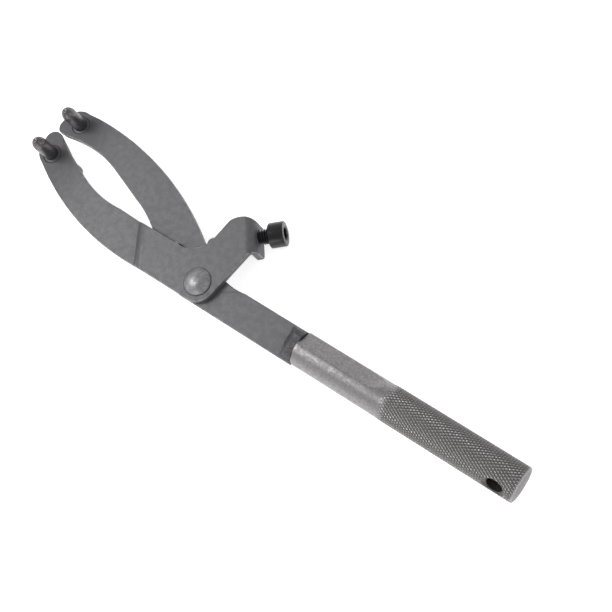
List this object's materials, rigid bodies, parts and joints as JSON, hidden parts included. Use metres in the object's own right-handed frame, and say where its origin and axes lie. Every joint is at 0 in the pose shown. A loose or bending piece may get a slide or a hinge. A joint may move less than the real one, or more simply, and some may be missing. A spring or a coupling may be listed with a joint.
{
  "type": "adjustable pin spanner",
  "caption": "Adjustable two-pin holding spanner: knurled round handle, flat fixed arm, riveted swinging arm and a screw that sets how far the face pins spread.",
  "frame": {"origin": "middle of the underside of the whole tool's box, with the jaws closed and the tool lying with its pins up", "axes": "+X along the tool from the handle to the jaws, +Y towards the swinging arm's jaw, +Z along the pivot and the pins, towards their tips"},
  "size_m": [0.316, 0.0594, 0.0292],
  "materials": {
    "plate_steel": "dull grey phosphated sheet steel, rubbed bright on the edges",
    "bar_steel": "grey steel bar, blotchy in front and diamond knurled behind",
    "pin_steel": "dark hardened steel, smoothly turned",
    "rivet_steel": "hammered rivet steel, phosphated with the plates",
    "screw_steel": "black oxide",
    "weld_steel": "dark weld bead, rippled"
  },
  "bodies": {
    "fixed_arm": {"rear_arm": "plate_steel", "rear_pin": "pin_steel", "pivot_rivet": "rivet_steel", "handle": "bar_steel", "handle_weld": "weld_steel"},
    "swinging_arm": {"front_arm": "plate_steel", "front_pin": "pin_steel"},
    "screw": {"adjusting_screw": "screw_steel"}
  },
  "joints": [
    {"name": "jaw_pivot", "type": "hinge", "parent": "fixed_arm", "child": "swinging_arm", "pos_m": [0.02763, 0.01937, 0.0096], "axis": [0, 0, 1], "range_deg": [0, 45]},
    {"name": "screw_travel", "type": "slide", "parent": "swinging_arm", "child": "screw", "axis": [-0.7893, -0.614, 0], "range_m": [0, 0.0186]}
  ],
  "couplings": [
    {"joint": "screw_travel", "follows": "jaw_pivot", "m_per_rad": 0.0235}
  ]
}
